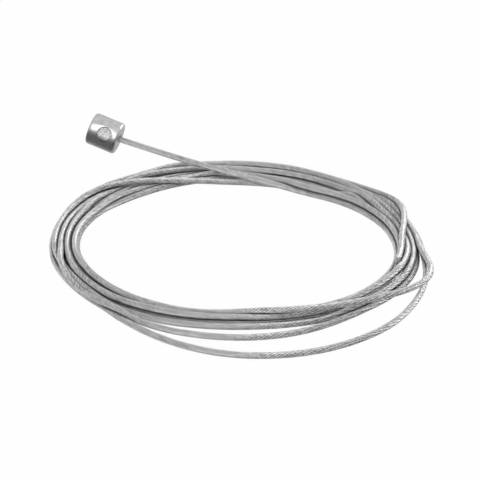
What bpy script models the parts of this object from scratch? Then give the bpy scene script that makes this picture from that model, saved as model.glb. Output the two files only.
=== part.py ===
"""Inner shift cable of a bicycle: a steel strand, coiled, with a cast cylindrical nipple on its end.

Metres, +Z up. The coil lies on the surface z = 0. The strand's own solids are plain: one turned ring for
the coil and a tube for each stretch that lies off it. Every point below is measured from the coil's middle,
and the whole is then moved so that its box stands centred over the origin.
"""

import math

import bmesh
import bpy
from mathutils import Matrix, Vector
from mathutils.geometry import interpolate_bezier

# Strand
CABLE_DIAMETER = 0.0012
SEAT_GAP = 0.0003  # left between solids that touch on the real thing

# Coil: turns side by side on the surface, and more in the grooves on top of them
INNER_TURN_RADIUS = 0.0299  # to the middle of the innermost turn
BOTTOM_TURNS = 5
UPPER_TURNS = 3
FIRST_GROOVE = 1  # the innermost groove stays bare, where the lead comes down
SHOWING_ANGLE = math.radians(60)  # how far round each turn's surface shows beside the next turn
ARC_STEP = math.radians(30)
RING_STEPS = 60

# Nipple
NIPPLE_DIAMETER = 0.0063
NIPPLE_LENGTH = 0.0062
NIPPLE_RIM = 0.0005
NIPPLE_SIDES = 64
NIPPLE_MOUTH = (-0.0244, 0.0394, 0.0057)
NIPPLE_TILT = math.radians(17.5)  # the stiff strand holds the free end up
NIPPLE_HEADING = math.radians(-15.5)
RECESS_DIAMETER = 0.0021
RECESS_DEPTH = 0.0016

# Sprue mark: a round pocket whose flat floor runs out of the surface at its lower side
MARK_DIAMETER = 0.0030
MARK_FACING = math.radians(28)  # round the nipple, from its side towards its top
MARK_FLOOR_TURN = math.radians(8)
MARK_SAG = 0.00034  # from the nipple's surface in to the floor

# Stretches off the coil, each from its nipple or coil end onwards
LEAD_POINTS = [
    (-0.0181, 0.0373, 0.0043),
    (-0.0151, 0.0359, 0.0039),
    (-0.0120, 0.0342, 0.0036),
    (-0.0078, 0.0321, 0.0033),
    (-0.0036, 0.0303, 0.0030),
    (0.0006, 0.0289, 0.0023),
    (0.0048, 0.0279, 0.0015),
    (0.0076, 0.0273, 0.0011),
]
FRONT_TURN_POINTS = [
    (0.0339, -0.0132),
    (0.0333, -0.0170),
    (0.0321, -0.0205),
    (0.0306, -0.0241),
    (0.0278, -0.0288),
    (0.0236, -0.0336),
    (0.0175, -0.0388),
    (0.0120, -0.0415),
    (0.0060, -0.0427),
    (0.0000, -0.0423),
    (-0.0060, -0.0405),
    (-0.0120, -0.0372),
    (-0.0168, -0.0337),
    (-0.0203, -0.0304),
]
SIDE_TURN_POINTS = [
    (0.0353, -0.0062, 0.0018),
    (0.0360, -0.0092, 0.0020),
    (0.0358, -0.0128, 0.0023),
    (0.0345, -0.0164, 0.0025),
    (0.0321, -0.0197, 0.0026),
    (0.0294, -0.0223, 0.0028),
    (0.0254, -0.0251, 0.0032),
    (0.0228, -0.0268, 0.0034),
    (0.0178, -0.0290, 0.0034),
]
TUBE_STEP = 2.4 * CABLE_DIAMETER


def clear_scene():
    for old in list(bpy.data.objects):
        bpy.data.objects.remove(old, do_unlink=True)


def make_collection(name):
    collection = bpy.data.collections.new(name)
    bpy.context.scene.collection.children.link(collection)
    return collection


def make_material(name, colour, roughness, metallic):
    material = bpy.data.materials.new(name)
    material.use_nodes = True
    shader = material.node_tree.nodes["Principled BSDF"]
    shader.inputs["Base Color"].default_value = (*colour, 1.0)
    shader.inputs["Roughness"].default_value = roughness
    shader.inputs["Metallic"].default_value = metallic
    return material


def add_object(name, data, collection, material=None):
    piece = bpy.data.objects.new(name, data)
    collection.objects.link(piece)
    if material:
        data.materials.append(material)
    return piece


def turn_centres():
    """(radius, height) of each turn in the coil's section, anticlockwise from the inner bottom one."""
    radius = CABLE_DIAMETER / 2
    bottom = [(INNER_TURN_RADIUS + CABLE_DIAMETER * k, radius) for k in range(BOTTOM_TURNS)]
    lift = radius + CABLE_DIAMETER * math.sin(math.radians(60))
    first = INNER_TURN_RADIUS + CABLE_DIAMETER * (FIRST_GROOVE + 0.5)
    upper = [(first + CABLE_DIAMETER * k, lift) for k in range(UPPER_TURNS)]
    return bottom + upper[::-1]


def coil_profile():
    """The outer edge of the stacked turns: an arc of each one, and a short flat across each groove."""
    centres = [Vector(centre) for centre in turn_centres()]
    outline = []
    for index, centre in enumerate(centres):
        arriving = centre - centres[index - 1]
        leaving = centres[(index + 1) % len(centres)] - centre
        start = math.atan2(arriving.y, arriving.x) - math.pi / 2
        turned = math.atan2(leaving.y, leaving.x) - math.atan2(arriving.y, arriving.x)
        turned = math.remainder(turned, 2 * math.pi)
        sweep = turned + 2 * SHOWING_ANGLE
        parts = round(sweep / ARC_STEP)
        for part in range(parts + 1):
            angle = start - SHOWING_ANGLE + sweep * part / parts
            outline.append(centre + CABLE_DIAMETER / 2 * Vector((math.cos(angle), math.sin(angle))))
    return outline


def make_coil(collection, material):
    """The coil: its section turned once round the vertical axis."""
    outline = coil_profile()[::-1]
    mesh = bpy.data.meshes.new("coil")
    edges = [(index, (index + 1) % len(outline)) for index in range(len(outline))]
    mesh.from_pydata([(point.x, 0.0, point.y) for point in outline], edges, [])
    coil = add_object("coil", mesh, collection, material)
    screw = coil.modifiers.new("turn round the axis", "SCREW")
    screw.axis = "Z"
    screw.angle = 2 * math.pi
    screw.steps = RING_STEPS
    screw.render_steps = RING_STEPS
    screw.use_merge_vertices = True
    screw.merge_threshold = 0.00001
    screw.use_smooth_shade = True
    return coil


def smooth_route(points):
    """Points every TUBE_STEP along a smooth curve through the given ones."""
    points = [Vector(point) for point in points]
    ends = [2 * points[0] - points[1], *points, 2 * points[-1] - points[-2]]
    fine = []
    for before, start, stop, after in zip(ends, ends[1:], ends[2:], ends[3:]):
        handles = (start + (stop - before) / 6, stop - (after - start) / 6)
        fine += interpolate_bezier(start, *handles, stop, 24)[:-1]
    fine.append(points[-1])
    travelled = [0.0]
    for start, stop in zip(fine, fine[1:]):
        travelled.append(travelled[-1] + (stop - start).length)
    count = max(3, round(travelled[-1] / TUBE_STEP))
    route, index = [], 0
    for step in range(count + 1):
        target = travelled[-1] * step / count
        while index < len(fine) - 2 and travelled[index + 1] < target:
            index += 1
        share = (target - travelled[index]) / (travelled[index + 1] - travelled[index])
        route.append(fine[index].lerp(fine[index + 1], share))
    return route


def make_tube(name, points, collection, material):
    """One stretch of the strand as a plain round tube with closed ends."""
    route = smooth_route(points)
    curve = bpy.data.curves.new(name, "CURVE")
    curve.dimensions = "3D"
    curve.bevel_depth = CABLE_DIAMETER / 2
    curve.bevel_resolution = 2
    curve.use_fill_caps = True
    spline = curve.splines.new("POLY")
    spline.points.add(len(route) - 1)
    for spline_point, place in zip(spline.points, route):
        spline_point.co = (*place, 1.0)
    spline.use_smooth = True
    return add_object(name, curve, collection, material)


def nipple_frame():
    """Where the nipple lies: its +X axis runs out of the mouth, towards the coil."""
    turn = Matrix.Rotation(NIPPLE_HEADING, 4, "Z") @ Matrix.Rotation(NIPPLE_TILT, 4, "Y")
    return Matrix.Translation(NIPPLE_MOUTH) @ turn


def add_cutter(name, radius, depth, placing, collection):
    """A cylinder along its own +Z, from the origin out to its depth."""
    mesh = bpy.data.meshes.new(name)
    shape = bmesh.new()
    bmesh.ops.create_cone(
        shape, cap_ends=True, segments=40, radius1=radius, radius2=radius, depth=depth,
        matrix=placing @ Matrix.Translation((0, 0, depth / 2)),
    )
    shape.to_mesh(mesh)
    shape.free()
    cutter = add_object(name, mesh, collection)
    cutter.hide_render = True
    cutter.display_type = "WIRE"
    return cutter


def make_nipple(collection, cutters, material):
    """The cast head: a cylinder with soft rims, its mouth at the origin and its body towards -X."""
    mesh = bpy.data.meshes.new("nipple")
    shape = bmesh.new()
    lying = Matrix.Translation((-NIPPLE_LENGTH / 2, 0, 0)) @ Matrix.Rotation(math.pi / 2, 4, "Y")
    bmesh.ops.create_cone(
        shape, cap_ends=True, segments=NIPPLE_SIDES, radius1=NIPPLE_DIAMETER / 2,
        radius2=NIPPLE_DIAMETER / 2, depth=NIPPLE_LENGTH, matrix=lying,
    )
    shape.to_mesh(mesh)
    shape.free()
    nipple = add_object("nipple", mesh, collection, material)

    rims = nipple.modifiers.new("soft rims", "BEVEL")
    rims.limit_method = "ANGLE"
    rims.angle_limit = math.radians(60)
    rims.width = NIPPLE_RIM
    rims.segments = 4

    inwards = Matrix.Translation((-RECESS_DEPTH, 0, 0)) @ Matrix.Rotation(math.pi / 2, 4, "Y")
    recess = add_cutter("recess cutter", RECESS_DIAMETER / 2, 2 * RECESS_DEPTH, inwards, cutters)

    slide = math.sin(MARK_FLOOR_TURN) * NIPPLE_DIAMETER / 2
    pocket = (
        Matrix.Translation((-NIPPLE_LENGTH / 2, 0, 0))
        @ Matrix.Rotation(math.pi / 2 - MARK_FACING - MARK_FLOOR_TURN, 4, "X")
        @ Matrix.Translation((0, -slide, NIPPLE_DIAMETER / 2 - MARK_SAG))
    )
    mark = add_cutter("sprue mark cutter", MARK_DIAMETER / 2, NIPPLE_DIAMETER / 2, pocket, cutters)

    for cutter in (recess, mark):
        cutter.parent = nipple
        cut = nipple.modifiers.new(cutter.name, "BOOLEAN")
        cut.operation = "DIFFERENCE"
        cut.object = cutter
    nipple.matrix_world = nipple_frame()
    mesh.shade_smooth()
    mesh.set_sharp_from_angle(angle=math.radians(35))
    return nipple


def lead_route():
    """From just off the recess floor, straight out of the mouth, then over the coil to its inner side."""
    frame = nipple_frame()
    inside = frame @ Vector((-RECESS_DEPTH + SEAT_GAP, 0, 0))
    mouth = frame @ Vector((0, 0, 0))
    straight = frame @ Vector((2 * CABLE_DIAMETER, 0, 0))
    return [inside, mouth, straight, *LEAD_POINTS]


def world_corners(piece, depsgraph):
    """The lowest and highest corner of a piece as it shows."""
    evaluated = piece.evaluated_get(depsgraph)
    mesh = evaluated.to_mesh()
    places = [evaluated.matrix_world @ vertex.co for vertex in mesh.vertices]
    evaluated.to_mesh_clear()
    low = Vector([min(place[axis] for place in places) for axis in range(3)])
    high = Vector([max(place[axis] for place in places) for axis in range(3)])
    return low, high


def centre_over_origin(pieces, collection):
    """Hangs the pieces on one empty at the coil's middle, and moves it until their box is centred."""
    middle = add_object("coil middle", None, collection)
    for piece in pieces:
        piece.parent = middle
    bpy.context.view_layer.update()
    depsgraph = bpy.context.evaluated_depsgraph_get()
    corners = [world_corners(piece, depsgraph) for piece in pieces]
    for axis in (0, 1):
        low = min(corner[0][axis] for corner in corners)
        high = max(corner[1][axis] for corner in corners)
        middle.location[axis] = -(low + high) / 2
    bpy.context.view_layer.update()


def main():
    clear_scene()
    parts = make_collection("shift cable")
    cutters = make_collection("cutters")
    strand_steel = make_material("strand steel", (0.56, 0.56, 0.57), 0.34, 1.0)
    cast_zinc = make_material("cast zinc", (0.60, 0.60, 0.61), 0.38, 1.0)

    lying = [(x, y, CABLE_DIAMETER / 2) for x, y in FRONT_TURN_POINTS]
    pieces = [
        make_coil(parts, strand_steel),
        make_nipple(parts, cutters, cast_zinc),
        make_tube("lead", lead_route(), parts, strand_steel.copy()),
        make_tube("front_turn", lying, parts, strand_steel.copy()),
        make_tube("side_turn", SIDE_TURN_POINTS, parts, strand_steel.copy()),
    ]
    centre_over_origin(pieces, parts)


main()
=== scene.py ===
# The shift cable: a laid steel strand in its coil, the cast nipple on its end, and a pale studio.
import math

import bpy
import numpy as np
from mathutils import Matrix, Vector
from mathutils.kdtree import KDTree


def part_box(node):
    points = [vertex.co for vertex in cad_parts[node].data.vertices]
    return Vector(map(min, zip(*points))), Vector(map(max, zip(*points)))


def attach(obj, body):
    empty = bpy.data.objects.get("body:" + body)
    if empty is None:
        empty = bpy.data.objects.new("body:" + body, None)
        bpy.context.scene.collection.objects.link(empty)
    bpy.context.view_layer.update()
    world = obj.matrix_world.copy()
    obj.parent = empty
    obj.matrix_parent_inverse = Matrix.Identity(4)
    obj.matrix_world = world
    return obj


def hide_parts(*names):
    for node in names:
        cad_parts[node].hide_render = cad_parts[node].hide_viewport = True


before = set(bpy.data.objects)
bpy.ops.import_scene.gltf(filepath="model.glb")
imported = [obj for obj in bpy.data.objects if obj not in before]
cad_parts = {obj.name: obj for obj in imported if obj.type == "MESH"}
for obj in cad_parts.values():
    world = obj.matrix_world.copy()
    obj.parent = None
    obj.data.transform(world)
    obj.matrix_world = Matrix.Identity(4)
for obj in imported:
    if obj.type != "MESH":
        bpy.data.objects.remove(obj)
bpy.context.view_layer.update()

mm = 0.001

# Every place below is measured from the coil's middle, which is where the CAD ring has its axis
coilLow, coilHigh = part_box("coil")
coilMiddle = Vector(((coilLow.x + coilHigh.x) / 2, (coilLow.y + coilHigh.y) / 2, 0.0))


# The camera
camera = {
    "distance": 0.470,  # from the coil's middle
    "elevation": 26.0,  # degrees over the floor
    "lens": 186.8,
    "sensor": 36.0,
    "nearest": 0.01,
    "rise": 10.5 / 480.0,  # how far the coil's middle lies below the picture's, in picture heights
}


def addCamera():
    data = bpy.data.cameras.new("camera")
    data.lens = camera["lens"]
    data.sensor_width = camera["sensor"]
    data.clip_start = camera["nearest"]
    data.shift_y = camera["rise"]
    view = bpy.data.objects.new("camera", data)
    up = math.radians(camera["elevation"])
    away = Vector((0.0, -math.cos(up), math.sin(up))) * camera["distance"]
    view.location = coilMiddle + away
    view.rotation_euler = (math.radians(90.0 - camera["elevation"]), 0.0, 0.0)
    bpy.context.scene.collection.objects.link(view)
    bpy.context.scene.camera = view


addCamera()
print("camera placed")


# The strand: one steel cord of twelve outer wires, from the nipple through ten turns to its end
strand = {
    "diameter": 1.2 * mm,
    "wires": 12,
    "lay": 7.8 * mm,  # the length in which a wire goes once round
    "groove": 0.15 * mm,  # how deep the valley between two wires is
    "shoulder": 0.13,  # half the width of a wire's crest, in wires
    "ringStep": 0.73 * mm,
    "inRecess": 1.7 * mm,  # how far the strand goes into the nipple
    "straightOut": 2.0,  # how far it runs straight out of the nipple, in diameters
    "creviceShadeReach": 0.37 * mm,  # how far from another turn the painted crevice shade begins
    "turnReach": 1.5,  # how far off another turn's middle is still looked for, in diameters
    "sameTurn": 8.0 * mm,  # this near along the strand, it is still the same turn
}
ringCorners = 3 * strand["wires"]  # two shoulders and a valley for each wire

# The nipple's mouth and the way it points, as the CAD has them
nipplePlace = {
    "mouth": Vector((-24.4, 39.4, 5.7)) * mm,
    "tilt": 17.5,  # degrees down
    "heading": -15.5,  # degrees from the x axis, negative towards the front
}

# The lead between the nipple and the coil, in millimetres
leadPoints = [
    (-18.1, 37.3, 4.3), (-15.1, 35.9, 3.9), (-12.0, 34.2, 3.6), (-7.8, 32.1, 3.3),
    (-3.6, 30.3, 3.0), (0.6, 28.9, 2.3), (4.8, 27.9, 1.5), (7.6, 27.3, 1.1),
]

# Each turn goes clockwise from the back: azimuth in degrees, radius in millimetres, and a height
# where the turn lies on others. With no height it lies on the floor.
turns = [
    [(30, 27.9), (45, 28.4), (60, 28.8), (75, 29.3), (90, 29.6), (105, 29.75), (120, 29.55),
     (135, 29.05), (150, 28.3), (165, 27.6), (180, 27.3), (195, 27.7), (210, 28.3), (225, 28.5),
     (240, 28.9), (255, 29.8), (270, 30.8), (285, 31.3), (300, 31.5), (315, 31.1), (330, 31.3),
     (345, 31.9)],
    [(0, 32.5), (15, 32.7), (30, 31.4), (38, 30.7), (45, 30.2), (52, 29.95), (60, 30.0),
     (75, 30.45), (90, 30.75), (105, 30.95), (120, 30.75), (135, 30.25), (150, 29.5), (165, 28.8),
     (180, 28.5), (195, 28.9), (210, 29.5), (225, 29.7), (240, 30.1), (255, 31.0), (270, 31.95),
     (285, 32.45), (300, 32.65), (308, 32.65), (315, 32.9), (322, 33.3), (330, 33.7),
     (345, 34.0)],
    [(0, 33.8), (15, 33.8), (30, 33.1), (45, 32.6), (60, 32.6), (75, 32.8), (90, 33.1),
     (98, 33.4), (105, 33.7), (112, 33.8), (120, 33.85), (135, 33.6), (142, 33.8), (150, 34.4),
     (157, 35.1), (165, 35.75), (172, 36.0), (180, 36.1), (190, 35.9), (200, 35.6),
     (210, 35.3, 0.8), (225, 34.8, 1.25), (240, 34.9, 1.6), (248, 34.8, 2.2), (255, 34.4, 2.6),
     (262, 33.9, 2.2), (270, 33.7, 1.65), (285, 34.2, 1.6), (300, 35.0, 1.1), (308, 35.8, 0.8),
     (315, 36.35), (320, 36.4, 0.8), (325, 36.3, 1.25), (330, 36.1, 1.6), (338, 35.7, 1.64),
     (345, 35.3, 1.64)],
    [(0, 33.6, 1.64), (15, 33.2, 1.64), (30, 32.3, 1.64), (40, 31.8, 1.64), (45, 31.5, 1.75),
     (50, 31.4, 2.0), (55, 31.2, 1.95), (60, 31.0, 1.75), (75, 31.0, 1.7), (90, 31.4, 2.0),
     (105, 31.8, 2.4), (120, 31.6, 2.5), (135, 31.5, 2.4), (150, 31.8, 1.9), (165, 31.2, 1.8),
     (180, 30.3, 1.7), (195, 30.9, 1.64), (210, 31.4, 1.64), (225, 32.1, 1.64), (240, 32.2, 1.64),
     (255, 32.4, 1.64), (270, 32.6, 1.6), (285, 33.0, 1.6), (300, 33.6, 1.5), (308, 34.4, 1.1),
     (315, 35.2, 0.7), (322, 35.6), (330, 36.0), (345, 36.4)],
    [(0, 36.2), (15, 35.9), (30, 35.3), (45, 34.9), (52, 34.5, 0.9), (60, 33.8, 1.35),
     (67, 33.35, 1.6), (75, 33.1, 1.65), (82, 33.0, 1.65), (90, 33.2, 1.7), (95, 33.8, 1.7),
     (100, 34.9, 1.8), (105, 36.3, 1.95), (112, 38.0, 2.35), (120, 38.1, 2.65), (127, 37.2, 2.85),
     (135, 35.8, 3.2), (142, 34.9, 3.4), (150, 33.6, 3.4), (165, 31.4, 3.1), (180, 29.2, 2.1),
     (195, 29.5, 1.7), (210, 29.7, 1.64), (225, 29.9, 1.64), (240, 30.1, 1.64), (255, 30.6, 1.64),
     (270, 31.1, 1.64), (285, 31.3, 1.7), (300, 31.3, 1.7), (308, 31.6, 1.6), (315, 31.9, 1.3),
     (321, 32.3, 0.85), (327, 32.5), (335, 32.7), (345, 32.6, 0.95), (352, 32.2, 1.4)],
    [(0, 31.3, 1.64), (15, 29.6, 1.64), (22, 28.5, 1.64), (30, 28.0, 1.7), (38, 28.5, 1.64),
     (45, 29.0, 1.64), (60, 29.4, 1.64), (75, 29.8, 1.64), (90, 30.1, 1.64), (105, 30.6, 1.5),
     (112, 31.0, 1.3), (120, 31.5, 0.95), (135, 31.45), (150, 30.7), (165, 30.0), (180, 29.7),
     (195, 30.1), (210, 30.7), (225, 30.9), (240, 31.3), (255, 32.2), (270, 33.1), (285, 33.6),
     (300, 33.8), (315, 34.1), (322, 34.5), (330, 34.85), (345, 35.1)],
    [(0, 35.0), (15, 34.9), (30, 34.2), (45, 33.8), (60, 33.6), (75, 33.55), (90, 33.9),
     (98, 34.75), (106, 35.8), (114, 37.0), (122, 38.2), (130, 39.5), (138, 40.95), (147, 42.0),
     (155, 42.8), (163, 43.25), (172, 43.15), (180, 42.6), (188, 41.5), (195, 40.1), (202, 38.6),
     (208, 37.3), (214, 36.0), (220, 34.9), (227, 34.2), (240, 34.2), (255, 34.65), (270, 35.3),
     (285, 36.1), (300, 37.4), (315, 38.6), (322, 38.6), (330, 38.4, 0.7), (338, 37.9, 1.2),
     (345, 37.2, 1.6)],
    [(0, 36.4, 1.64), (15, 35.8, 1.64), (30, 34.6, 1.64), (45, 33.2, 1.64), (60, 32.4, 1.64),
     (75, 32.2, 1.64), (90, 32.5, 1.64), (105, 33.0, 1.5), (120, 33.15, 1.6), (135, 33.0, 1.6),
     (142, 32.95, 1.3), (150, 33.0, 0.7), (157, 32.7), (165, 32.2), (180, 31.9), (195, 32.1),
     (210, 32.8), (225, 33.3), (240, 33.4, 1.2), (248, 33.7, 1.45), (255, 34.1, 1.5),
     (262, 34.5, 1.6), (270, 34.8, 1.6), (285, 35.5, 1.6), (300, 36.6, 1.6), (308, 36.95, 1.65),
     (315, 36.4, 1.85), (320, 35.0, 2.0), (325, 33.3, 2.1), (330, 31.9, 2.0), (335, 31.0, 1.8),
     (340, 30.4, 1.5), (345, 30.1, 1.2), (352, 29.9, 0.75)],
    [(0, 29.7), (15, 29.4), (30, 29.1), (36, 29.3, 0.7), (40, 29.6, 1.0), (45, 30.2, 1.5),
     (50, 30.8, 1.4), (55, 31.3, 0.9), (60, 31.4), (75, 31.7), (90, 31.9), (105, 32.2),
     (120, 32.4), (135, 32.5), (142, 32.2), (150, 31.85), (165, 31.1), (180, 30.8), (195, 31.2),
     (210, 31.8), (225, 32.1), (240, 32.5), (255, 33.35), (270, 34.2), (285, 34.8), (300, 36.1),
     (315, 37.5), (330, 37.5), (345, 37.6)],
    [(0, 37.5), (15, 37.3), (30, 36.3), (38, 36.0, 0.65), (45, 35.9, 0.8), (50, 35.7, 1.2),
     (55, 35.6, 1.7), (60, 35.3, 2.1), (64, 34.7, 2.4), (68, 34.0, 2.6), (72, 33.1, 2.75),
     (78, 32.0, 2.75), (84, 30.9, 2.65), (90, 30.4, 2.6), (96, 30.4, 2.6), (102, 30.45, 2.65),
     (109, 30.75, 2.75)],
]

# How the turns come to rest on each other
settling = {
    "azimuthStep": 1.0,  # degrees between two stations round the coil
    "rounds": 400,
    "pull": 0.10,  # how strongly a turn keeps to its place at first
    "stiffness": 0.20,
    "lastRounds": 60,
    "lastStiffness": 0.08,
    "pushes": 3,
    "pushShare": 0.3,
    "lastSmoothings": 8,
    "clearance": 0.97,  # in diameters, as the wires of one turn bed into the valleys of the next
}


def nippleFrame():
    turn = Matrix.Rotation(math.radians(nipplePlace["heading"]), 4, "Z")
    turn = turn @ Matrix.Rotation(math.radians(nipplePlace["tilt"]), 4, "Y")
    return Matrix.Translation(coilMiddle + nipplePlace["mouth"]) @ turn


# Azimuth, radius and height of each chosen place, in millimetres, from inside the nipple on
def routePlaces():
    placing = nippleFrame()
    places = []
    for out in (-strand["inRecess"], 0.0, strand["straightOut"] * strand["diameter"]):
        places.append(tuple((placing @ Vector((out, 0, 0)) - coilMiddle) / mm))
    places += leadPoints
    route = [(math.degrees(math.atan2(x, y)), math.hypot(x, y), z) for x, y, z in places]
    floorHeight = strand["diameter"] / mm / 2
    for number, turn in enumerate(turns):
        for azimuth, radius, *height in turn:
            route.append((360.0 * number + azimuth, radius, height[0] if height else floorHeight))
    return np.array(route)


# A smooth curve through the values, read at the wanted places
def smoothThrough(known, values, wanted):
    gap = np.diff(known)
    slope = np.diff(values) / gap
    lean = np.empty_like(values)
    lean[0], lean[-1] = slope[0], slope[-1]
    lean[1:-1] = (slope[:-1] * gap[1:] + slope[1:] * gap[:-1]) / (gap[:-1] + gap[1:])
    at = np.clip(np.searchsorted(known, wanted) - 1, 0, len(known) - 2)
    t = (wanted - known[at]) / gap[at]
    start = (1 + 2 * t) * (1 - t) ** 2 * values[at] + t * (1 - t) ** 2 * gap[at] * lean[at]
    stop = t * t * (3 - 2 * t) * values[at + 1] + t * t * (t - 1) * gap[at] * lean[at + 1]
    return start + stop


# For each two turns, the stations of both that lie at the same azimuth
def meetingPairs(count, first, perTurn):
    low = first // perTurn
    laps = (first + count - 1) // perTurn - low + 1
    station = np.full(laps * perTurn, -1)
    station[first - low * perTurn + np.arange(count)] = np.arange(count)
    station = station.reshape(laps, perTurn)
    pairs = []
    for one in range(laps):
        for other in range(one + 1, laps):
            both = (station[one] >= 0) & (station[other] >= 0)
            pairs.append((station[one][both], station[other][both]))
    return pairs


# One round of drawing the turns to their chosen places and straightening them, as a spring does
def easeTurns(now, wished, pull, stiffness):
    for values, target in zip(now, wished):
        values += (target - values) * pull
        once = values.copy()
        once[1:-1] = (values[:-2] + values[2:]) / 2
        twice = once.copy()
        twice[1:-1] = (once[:-2] + once[2:]) / 2
        values[2:-2] += stiffness * (twice[2:-2] - values[2:-2])


# One push apart of all turns that are too near each other, with none pushed through the floor
def pushTurns(radius, height, pairs):
    apart = strand["diameter"] / mm * settling["clearance"]
    outward = np.zeros_like(radius)
    upward = np.zeros_like(height)
    for one, other in pairs:
        across = radius[other] - radius[one]
        above = height[other] - height[one]
        distance = np.maximum(np.hypot(across, above), 1e-6)
        push = np.maximum(0, apart - distance) * settling["pushShare"] / distance
        np.add.at(outward, one, -across * push)
        np.add.at(outward, other, across * push)
        np.add.at(upward, one, -above * push)
        np.add.at(upward, other, above * push)
    radius += outward
    height[:] = np.maximum(height + upward, strand["diameter"] / mm / 2)


# Lets the turns push each other apart until they lie side by side and on each other
def settleTurns():
    route = routePlaces()
    step = settling["azimuthStep"]
    first = math.ceil(route[0, 0] / step)
    azimuth = np.arange(first, math.floor(route[-1, 0] / step) + 1) * step
    radius = smoothThrough(route[:, 0], route[:, 1], azimuth)
    height = smoothThrough(route[:, 0], route[:, 2], azimuth)
    wished = (radius.copy(), height.copy())
    pairs = meetingPairs(len(azimuth), first, round(360 / step))
    for count in range(settling["rounds"]):
        late = count >= settling["rounds"] - settling["lastRounds"]
        stiffness = settling["lastStiffness"] if late else settling["stiffness"]
        pull = settling["pull"] * (1 - count / settling["rounds"])
        easeTurns((radius, height), wished, pull, stiffness)
        for _ in range(settling["pushes"]):
            pushTurns(radius, height, pairs)
    for _ in range(settling["lastSmoothings"]):
        for values in (radius, height):
            values[1:-1] += (values[:-2] - 2 * values[1:-1] + values[2:]) / 4
    angle = np.radians(azimuth)
    return np.stack([radius * np.sin(angle), radius * np.cos(angle), height], axis=1) * mm


# How far along the strand each of its points lies
def lengthAlong(points):
    return np.concatenate([[0.0], np.cumsum(np.linalg.norm(np.diff(points, axis=0), axis=1))])


# The same route with its points the given distance apart
def evenRoute(points, step):
    along = lengthAlong(points)
    wanted = np.linspace(0.0, along[-1], round(along[-1] / step) + 1)
    return np.stack([smoothThrough(along, points[:, axis], wanted) for axis in range(3)], axis=1)


# Points round the section for each ring: two shoulders on each wire and a valley before them
def strandSection(turned):
    pitch = 2 * math.pi / strand["wires"]
    crest = strand["diameter"] / 2
    angle = []
    radius = []
    for wire in range(strand["wires"]):
        for share in (-0.5, -strand["shoulder"], strand["shoulder"]):
            angle.append((wire + share) * pitch)
            radius.append(crest - strand["groove"] if share == -0.5 else crest)
    angle = np.array(angle)[None, :] + turned[:, None]
    return np.array(radius) * np.cos(angle), np.array(radius) * np.sin(angle)


# The rings of points round the route, with the way that the strand runs at each
def wrapRoute(route, along):
    tangent = np.gradient(route, axis=0)
    tangent /= np.linalg.norm(tangent, axis=1)[:, None]
    side = np.cross(tangent, (0.0, 0.0, 1.0))
    side /= np.linalg.norm(side, axis=1)[:, None]
    top = np.cross(side, tangent)
    acrossSide, acrossTop = strandSection(-2 * math.pi * along / strand["lay"])
    rings = (
        route[:, None, :]
        + acrossSide[:, :, None] * side[:, None, :]
        + acrossTop[:, :, None] * top[:, None, :]
    )
    return rings, tangent


# How much painted crevice shade each point of the surface gets from another turn: 1 where the two
# touch, 0 from the reach on
def shadeBetweenTurns(route, tangent, rings):
    tree = KDTree(len(route))
    for number, place in enumerate(route):
        tree.insert(place, number)
    tree.balance()
    near = np.zeros(rings.shape[:2])
    sameTurn = round(strand["sameTurn"] / strand["ringStep"])
    for number, place in enumerate(route):
        for _, other, _ in tree.find_range(place, strand["turnReach"] * strand["diameter"]):
            if abs(other - number) < sameTurn:
                continue
            away = rings[number] - route[other]
            away -= np.outer(away @ tangent[other], tangent[other])
            gap = np.linalg.norm(away, axis=1) - strand["diameter"] / 2
            near[number] = np.maximum(near[number], 1 - gap / strand["creviceShadeReach"])
    near[-1] = 0.0  # the cut end stays bright
    return np.clip(near, 0.0, 1.0)


# The map that the steel follows: lays along the strand, and once from wire to wire round it
def mapWires(mesh, along):
    loops = np.empty(len(mesh.loops), np.int32)
    mesh.loops.foreach_get("vertex_index", loops)
    share = np.array([-0.5, -strand["shoulder"], strand["shoulder"]])
    wire = np.arange(ringCorners) // 3
    around = (wire + np.tile(share, strand["wires"])) / strand["wires"]
    across = around[loops % ringCorners]
    quads = (len(along) - 1) * ringCorners * 4
    lastQuad = (np.arange(quads) // 4) % ringCorners == ringCorners - 1
    across[:quads] += lastQuad & (loops[:quads] % ringCorners == 0)
    across[quads:] = 0.0  # the two cut ends are plain bright steel
    uv = np.stack([along[loops // ringCorners] / strand["lay"], across], axis=1)
    layer = mesh.uv_layers.new(name="alongAndRound")
    layer.data.foreach_set("uv", uv.astype(np.float32).ravel())


# Smooth wires, with a sharp line along each valley and round the two cut ends
def shadeWires(mesh, ringCount):
    edges = np.empty(2 * len(mesh.edges), np.int32)
    mesh.edges.foreach_get("vertices", edges)
    edges = edges.reshape(-1, 2)
    inValley = (edges % ringCorners % 3 == 0).all(axis=1)
    atStart = (edges < ringCorners).all(axis=1)
    atEnd = (edges >= (ringCount - 1) * ringCorners).all(axis=1)
    mesh.shade_smooth()
    mesh.edges.foreach_set("use_edge_sharp", inValley | atStart | atEnd)


def makeStrand(route):
    along = lengthAlong(route)
    rings, tangent = wrapRoute(route, along)
    number = np.arange(len(route) * ringCorners).reshape(len(route), ringCorners)
    ahead = np.roll(number, -1, axis=1)
    faces = np.stack([number[:-1], ahead[:-1], ahead[1:], number[1:]], axis=2)
    faces = faces.reshape(-1, 4).tolist()
    faces.append(number[0][::-1].tolist())
    faces.append(number[-1].tolist())
    mesh = bpy.data.meshes.new("shiftStrand")
    mesh.from_pydata(rings.reshape(-1, 3).tolist(), [], faces)
    mapWires(mesh, along)
    shadeWires(mesh, len(route))
    # Painted shade: each point stores how near another turn lies, and the steel darkens there as
    # in a crevice
    creviceShadeAttribute = mesh.attributes.new("shadeBetweenTurns", "FLOAT", "POINT")
    near = shadeBetweenTurns(route, tangent, rings)
    creviceShadeAttribute.data.foreach_set("value", near.astype(np.float32).ravel())
    mesh.update()
    piece = bpy.data.objects.new("shiftStrand", mesh)
    bpy.context.scene.collection.objects.link(piece)
    return piece, along[-1]


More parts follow.
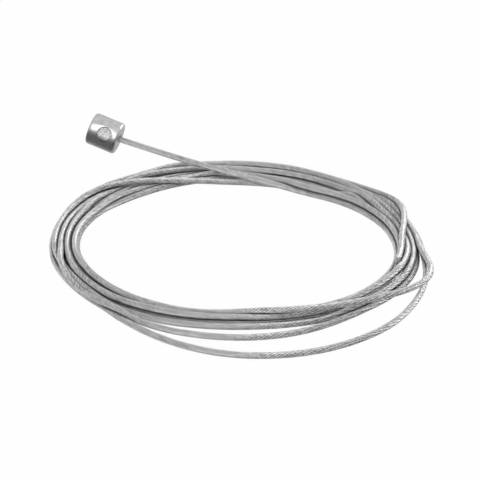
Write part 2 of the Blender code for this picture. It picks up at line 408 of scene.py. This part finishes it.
settled = settleTurns() + np.array(coilMiddle)
strandRoute = evenRoute(settled, strand["ringStep"])
shiftStrand, strandLength = makeStrand(strandRoute)
print(f"strand laid: {strandLength:.3f} m in {len(strandRoute)} rings")


# Short ways to add shader nodes and to wire them up
def addNode(tree, kind, **settings):
    node = tree.nodes.new(kind)
    for name, value in settings.items():
        setattr(node, name, value)
    return node


# A socket takes another node's output, or a plain value
def feed(tree, socket, value):
    if isinstance(value, bpy.types.NodeSocket):
        tree.links.new(value, socket)
    else:
        socket.default_value = value


def addRange(tree, value, before, after, **settings):
    node = addNode(tree, "ShaderNodeMapRange", **settings)
    feed(tree, node.inputs["Value"], value)
    for name, limit in zip(("From Min", "From Max", "To Min", "To Max"), (*before, *after)):
        node.inputs[name].default_value = limit
    return node.outputs["Result"]


# Noise lies mostly between 0.35 and 0.65, so the ranges that read it begin and end near there
def addNoise(tree, place, scale, detail, **settings):
    node = addNode(tree, "ShaderNodeTexNoise", **settings)
    feed(tree, node.inputs["Vector"], place)
    node.inputs["Scale"].default_value = scale
    node.inputs["Detail"].default_value = detail
    return node.outputs["Fac"]


def addMath(tree, operation, *values):
    node = addNode(tree, "ShaderNodeMath", operation=operation)
    for socket, value in zip(node.inputs, values):
        feed(tree, socket, value)
    return node.outputs[0]


def addVectorMath(tree, operation, one, other, outlet="Vector"):
    node = addNode(tree, "ShaderNodeVectorMath", operation=operation)
    feed(tree, node.inputs[0], one)
    feed(tree, node.inputs["Scale" if operation == "SCALE" else 1], other)
    return node.outputs[outlet]


def addMix(tree, share, one, other):
    node = addNode(tree, "ShaderNodeMix")
    for name, value in (("Factor", share), ("A", one), ("B", other)):
        feed(tree, node.inputs[name], value)
    return node.outputs["Result"]


def addRelief(tree, shader, height, strength, depth):
    bump = addNode(tree, "ShaderNodeBump")
    feed(tree, bump.inputs["Strength"], strength)
    bump.inputs["Distance"].default_value = depth
    feed(tree, bump.inputs["Height"], height)
    feed(tree, shader.inputs["Normal"], bump.outputs["Normal"])


def metalMaterial(name):
    material = bpy.data.materials.new(name)
    material.use_nodes = True
    tree = material.node_tree
    shader = tree.nodes["Principled BSDF"]
    shader.inputs["Metallic"].default_value = 1.0
    return material, tree, shader


steel = {
    "crest": (0.98, 0.98, 0.99, 1.0),
    # painted shade: the near black colour of the valleys between the wires
    "valleyShade": (0.04, 0.04, 0.042, 1.0),
    "crestEdge": 0.07,  # where the crest's tone ends, in wires from its middle
    "valleyShadeEdge": 0.36,  # and where the valley's painted shade begins
    "patches": 1500.0,  # noise scale of the dull patches
    "stain": (0.90, 1.08),  # the duller and the brighter patches
    "streaks": (7.0, 7.3, 1.0),  # how often the tone changes in one lay, and from wire to wire
    "streak": (0.74, 1.16),  # the duller and the brighter stretches of a wire
    "creviceShade": 0.13,  # painted crevice shade: what is left of the colour where two turns touch
    "roughness": (0.28, 0.44),
    "lines": (6.0, 150.0, 1.0),  # the fine drawing lines, in one lay and round the strand
    "lineStrength": 0.25,
    "lineDepth": 0.02 * mm,
}


# Drawn steel wires: bright crests, painted shade in the valleys between them and in the crevices
# between turns, fine drawing lines along each wire
def steelMaterial():
    material, tree, shader = metalMaterial("strandSteel")
    solid = addNode(tree, "ShaderNodeTexCoord").outputs["Object"]
    place = addNode(tree, "ShaderNodeUVMap", uv_map="alongAndRound").outputs["UV"]
    parts = addNode(tree, "ShaderNodeSeparateXYZ")
    feed(tree, parts.inputs[0], place)

    # Painted shade: each wire's colour runs from its bright crest into a near black valley
    wires = addMath(tree, "MULTIPLY", parts.outputs["Y"], strand["wires"])
    tone = addNode(tree, "ShaderNodeValToRGB")
    crest, valleyShade = tone.color_ramp.elements
    crest.position, crest.color = steel["crestEdge"], steel["crest"]
    valleyShade.position, valleyShade.color = steel["valleyShadeEdge"], steel["valleyShade"]
    feed(tree, tone.inputs[0], addMath(tree, "PINGPONG", wires, 0.5))

    patches = addNoise(tree, solid, steel["patches"], 3.0)
    dull = addRange(tree, patches, (0.38, 0.62), steel["stain"])
    colour = addVectorMath(tree, "SCALE", tone.outputs["Color"], dull)

    onWire = addNode(tree, "ShaderNodeCombineXYZ")
    feed(tree, onWire.inputs["X"], parts.outputs["X"])
    feed(tree, onWire.inputs["Y"], addMath(tree, "ROUND", wires))
    spread = addVectorMath(tree, "MULTIPLY", onWire.outputs[0], steel["streaks"])
    streaks = addNoise(tree, spread, 1.0, 1.0, noise_dimensions="2D")
    worn = addRange(tree, streaks, (0.36, 0.64), steel["streak"])
    colour = addVectorMath(tree, "SCALE", colour, worn)

    # Painted crevice shade: the colour darkens where another turn lies close
    creviceShadeAttribute = addNode(tree, "ShaderNodeAttribute", attribute_name="shadeBetweenTurns")
    creviceShadeTone = addRange(tree, creviceShadeAttribute.outputs["Fac"], (0.0, 1.0), (1.0, steel["creviceShade"]))
    colour = addVectorMath(tree, "SCALE", colour, creviceShadeTone)
    feed(tree, shader.inputs["Base Color"], colour)

    rough = addRange(tree, patches, (0.35, 0.65), steel["roughness"])
    feed(tree, shader.inputs["Roughness"], rough)
    stretch = addVectorMath(tree, "MULTIPLY", place, steel["lines"])
    lines = addNoise(tree, stretch, 1.0, 4.0)
    addRelief(tree, shader, lines, steel["lineStrength"], steel["lineDepth"])
    return material


shiftStrand.data.materials.append(steelMaterial())
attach(shiftStrand, "root")
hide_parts("coil", "lead", "front_turn", "side_turn")


# The nipple: a cast zinc barrel with soft rims, a recess that the strand enters, and a shallow
# round pocket on its side
nipple = {
    "diameter": 6.5 * mm,
    "length": 6.2 * mm,
    "rim": 0.5 * mm,
    "rimSegments": 6,
    "rimAngle": 60.0,  # edges sharper than this, in degrees, get the rim
    "rise": 0.1 * mm,  # how far its axis lies over the strand's
    "recess": (2.3 * mm, 1.6 * mm),  # diameter and depth
    "pocket": 2.95 * mm,
    "pocketDepth": 0.46 * mm,
    "pocketTurn": 57.5,  # degrees from the top towards the front
    "pocketLean": 8.0,  # degrees that its middle is moved further the same way
    "pocketMiddle": 2.75 * mm,  # back from the mouth
    "edge": 0.04 * mm,
    "edgeSegments": 2,
    "edgeAngle": 35.0,  # edges sharper than this, in degrees, are broken
    "smoothAngle": 30.0,
    "sides": 128,
    "cutterSides": 96,
}


def addCutter(name, diameter, length, placing):
    bpy.ops.mesh.primitive_cylinder_add(
        vertices=nipple["cutterSides"], radius=diameter / 2, depth=length
    )
    cutter = bpy.context.object
    cutter.name = name
    cutter.matrix_world = placing
    return cutter


def addModifier(piece, kind, **settings):
    modifier = piece.modifiers.new(kind.lower(), kind)
    for name, value in settings.items():
        setattr(modifier, name, value)
    bpy.ops.object.select_all(action="DESELECT")
    piece.select_set(True)
    bpy.context.view_layer.objects.active = piece
    bpy.ops.object.modifier_apply(modifier=modifier.name)


# Where the middle of the pocket's floor lies in the nipple, and the way that it faces
def pocketPlacing():
    reach = nipple["diameter"] / 2
    place = Matrix.Translation((-nipple["pocketMiddle"], 0, nipple["rise"]))
    place = place @ Matrix.Rotation(math.radians(nipple["pocketTurn"]), 4, "X")
    lean = math.radians(nipple["pocketLean"])
    return place @ Matrix.Translation((0, -math.sin(lean) * reach, reach - nipple["pocketDepth"]))


def makeNipple():
    bpy.ops.mesh.primitive_cylinder_add(
        vertices=nipple["sides"], radius=nipple["diameter"] / 2, depth=nipple["length"],
        location=(-nipple["length"] / 2, 0, nipple["rise"]), rotation=(0, math.radians(90.0), 0),
    )
    piece = bpy.context.object
    piece.name = "castNipple"
    bpy.ops.object.transform_apply(location=True, rotation=True, scale=True)
    addModifier(
        piece, "BEVEL", width=nipple["rim"], segments=nipple["rimSegments"],
        angle_limit=math.radians(nipple["rimAngle"]),
    )
    along = Matrix.Rotation(math.radians(90.0), 4, "Y")
    wide, deep = nipple["recess"]
    reach = nipple["diameter"] / 2
    outOfPocket = pocketPlacing() @ Matrix.Translation((0, 0, reach / 2))
    cutters = [
        addCutter("recess", wide, 2 * deep, along),
        addCutter("pocket", nipple["pocket"], reach, outOfPocket),
    ]
    bpy.context.view_layer.update()
    for cutter in cutters:
        addModifier(piece, "BOOLEAN", object=cutter, operation="DIFFERENCE", solver="EXACT")
        bpy.data.objects.remove(cutter)
    addModifier(
        piece, "BEVEL", width=nipple["edge"], segments=nipple["edgeSegments"],
        angle_limit=math.radians(nipple["edgeAngle"]), use_clamp_overlap=True,
    )
    piece.matrix_world = nippleFrame()
    bpy.ops.object.transform_apply(location=True, rotation=True, scale=True)
    bpy.ops.object.shade_smooth_by_angle(angle=math.radians(nipple["smoothAngle"]))
    return piece


zinc = {
    "colour": (0.52, 0.52, 0.53),
    "clouds": 900.0,  # noise scale of the soft clouds in the casting's skin
    "cloud": (0.88, 1.08),  # the duller and the brighter clouds
    "roughness": (0.25, 0.34),
    "darkReflectionTurn": 100.0,  # degrees from the top towards the front
    "darkReflectionReach": (0.38, 0.50),  # where the painted dark reflection begins and where it is full, in diameters
    "darkReflection": 0.30,  # what is left of the colour in the middle of the painted dark reflection
    "wallShade": 0.45,  # painted shade: what is left of it along the pocket's wall
    "wallShadeLine": (0.485, 0.03),  # where that line is and how far it reaches, in pocket diameters
    "floorReach": (0.49, 0.47),  # where the rough floor begins and is full, in the same measure
    "inPocket": 0.62,  # how rough the pocket's floor is
    "grain": 5200.0,
    "speckle": (0.85, 1.75),  # the duller and the brighter grains of the pocket's floor
    "relief": 0.15 * mm,
    "reliefShare": (0.08, 1.0),  # on the barrel and in the pocket
}


def zincMaterial():
    material, tree, shader = metalMaterial("castZinc")
    solid = addNode(tree, "ShaderNodeTexCoord").outputs["Object"]

    # The skin of the casting has a soft cloudy tone
    clouds = addNoise(tree, solid, zinc["clouds"], 4.0)
    tone = addRange(tree, clouds, (0.35, 0.65), zinc["cloud"])
    colour = addVectorMath(tree, "SCALE", zinc["colour"], tone)

    # A painted dark reflection lies as a band along the front of the barrel
    placing = nippleFrame()
    angle = math.radians(zinc["darkReflectionTurn"])
    toDarkReflection = placing.to_3x3() @ Vector((0.0, -math.sin(angle), math.cos(angle)))
    fromMouth = addVectorMath(tree, "SUBTRACT", solid, placing.translation)
    nearDarkReflection = addVectorMath(tree, "DOT_PRODUCT", fromMouth, toDarkReflection, "Value")
    reach = [share * nipple["diameter"] for share in zinc["darkReflectionReach"]]
    darkReflection = addRange(tree, nearDarkReflection, reach, (1.0, zinc["darkReflection"]), interpolation_type="SMOOTHSTEP")
    colour = addVectorMath(tree, "SCALE", colour, darkReflection)

    # The floor of the pocket is left rough and speckled, with a painted shade line along its wall
    wide = nipple["pocket"]
    middle = placing @ pocketPlacing().translation
    away = addVectorMath(tree, "DISTANCE", solid, middle, "Value")
    floorReach = [share * wide for share in zinc["floorReach"]]
    inside = addRange(tree, away, floorReach, (0.0, 1.0))
    # Painted shade: a dark line round the pocket's wall
    wallShade = addMath(tree, "COMPARE", away, *(share * wide for share in zinc["wallShadeLine"]))
    wallShadeTone = addRange(tree, wallShade, (0.0, 1.0), (1.0, zinc["wallShade"]))
    colour = addVectorMath(tree, "SCALE", colour, wallShadeTone)
    grain = addNoise(tree, solid, zinc["grain"], 3.0)
    speckle = addRange(tree, grain, (0.40, 0.60), zinc["speckle"])
    colour = addVectorMath(tree, "SCALE", colour, addMix(tree, inside, 1.0, speckle))
    feed(tree, shader.inputs["Base Color"], colour)

    skin = addRange(tree, clouds, (0.35, 0.65), zinc["roughness"])
    feed(tree, shader.inputs["Roughness"], addMix(tree, inside, skin, zinc["inPocket"]))
    strength = addRange(tree, inside, (0.0, 1.0), zinc["reliefShare"])
    addRelief(tree, shader, grain, strength, zinc["relief"])
    return material


castNipple = makeNipple()
castNipple.data.materials.append(zincMaterial())
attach(castNipple, "root")
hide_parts("nipple")
print(f"nipple made: {len(castNipple.data.polygons)} faces")


# The studio: a pale floor, a white world and three soft lamps
studio = {
    "floorSize": 3.0,
    "floorColour": (0.50, 0.50, 0.50, 1.0),
    "floorRoughness": 0.9,
    "floorWhite": {"Is Camera Ray": 0.98, "Is Glossy Ray": 0.22, "Is Transmission Ray": 0.80},
    "sky": (0.58, 0.98),  # the light at the horizon and from above
    "skyTop": 0.5,  # how high the light from above begins
    "lamps": [  # place, width and power
        ("right", (0.60, 0.50, 0.22), 0.50, 2.9),
        ("left", (-0.62, 0.10, 0.20), 0.40, 0.1),
        ("front", (-0.10, -0.80, 0.62), 0.70, 2.9),
    ],
}


def paleWorld():
    world = bpy.data.worlds.new("studio")
    world.use_nodes = True
    tree = world.node_tree
    light = tree.nodes["Background"]
    light.inputs["Color"].default_value = (1.0, 1.0, 1.0, 1.0)
    way = addNode(tree, "ShaderNodeTexCoord")
    parts = addNode(tree, "ShaderNodeSeparateXYZ")
    feed(tree, parts.inputs[0], way.outputs["Generated"])
    rise = addRange(tree, parts.outputs["Z"], (0.0, studio["skyTop"]), studio["sky"])
    feed(tree, light.inputs["Strength"], rise)
    bpy.context.scene.world = world


def addFloor():
    bpy.ops.mesh.primitive_plane_add(size=studio["floorSize"], location=coilMiddle)
    floor = bpy.context.object
    floor.name = "floor"
    material = bpy.data.materials.new("paleFloor")
    material.use_nodes = True
    tree = material.node_tree
    paint = tree.nodes["Principled BSDF"]
    paint.inputs["Base Color"].default_value = studio["floorColour"]
    paint.inputs["Roughness"].default_value = studio["floorRoughness"]
    paint.inputs["Specular IOR Level"].default_value = 0.0
    glow = addNode(tree, "ShaderNodeEmission")
    glow.inputs["Strength"].default_value = 1.0
    rays = addNode(tree, "ShaderNodeLightPath")
    share = 0.0
    for kind, weight in studio["floorWhite"].items():
        share = addMath(tree, "MULTIPLY_ADD", rays.outputs[kind], weight, share)
    mix = addNode(tree, "ShaderNodeMixShader")
    for socket, value in zip(mix.inputs, (share, paint.outputs[0], glow.outputs[0])):
        feed(tree, socket, value)
    feed(tree, tree.nodes["Material Output"].inputs["Surface"], mix.outputs[0])
    floor.data.materials.append(material)


def addLamps():
    for name, place, size, power in studio["lamps"]:
        data = bpy.data.lights.new(name, "AREA")
        data.size = size
        data.energy = power
        lamp = bpy.data.objects.new(name, data)
        lamp.location = coilMiddle + Vector(place)
        lamp.rotation_euler = (-Vector(place)).to_track_quat("-Z", "Y").to_euler()
        bpy.context.scene.collection.objects.link(lamp)


paleWorld()
addFloor()
addLamps()
bpy.context.scene.view_settings.view_transform = "Standard"
print("studio set")
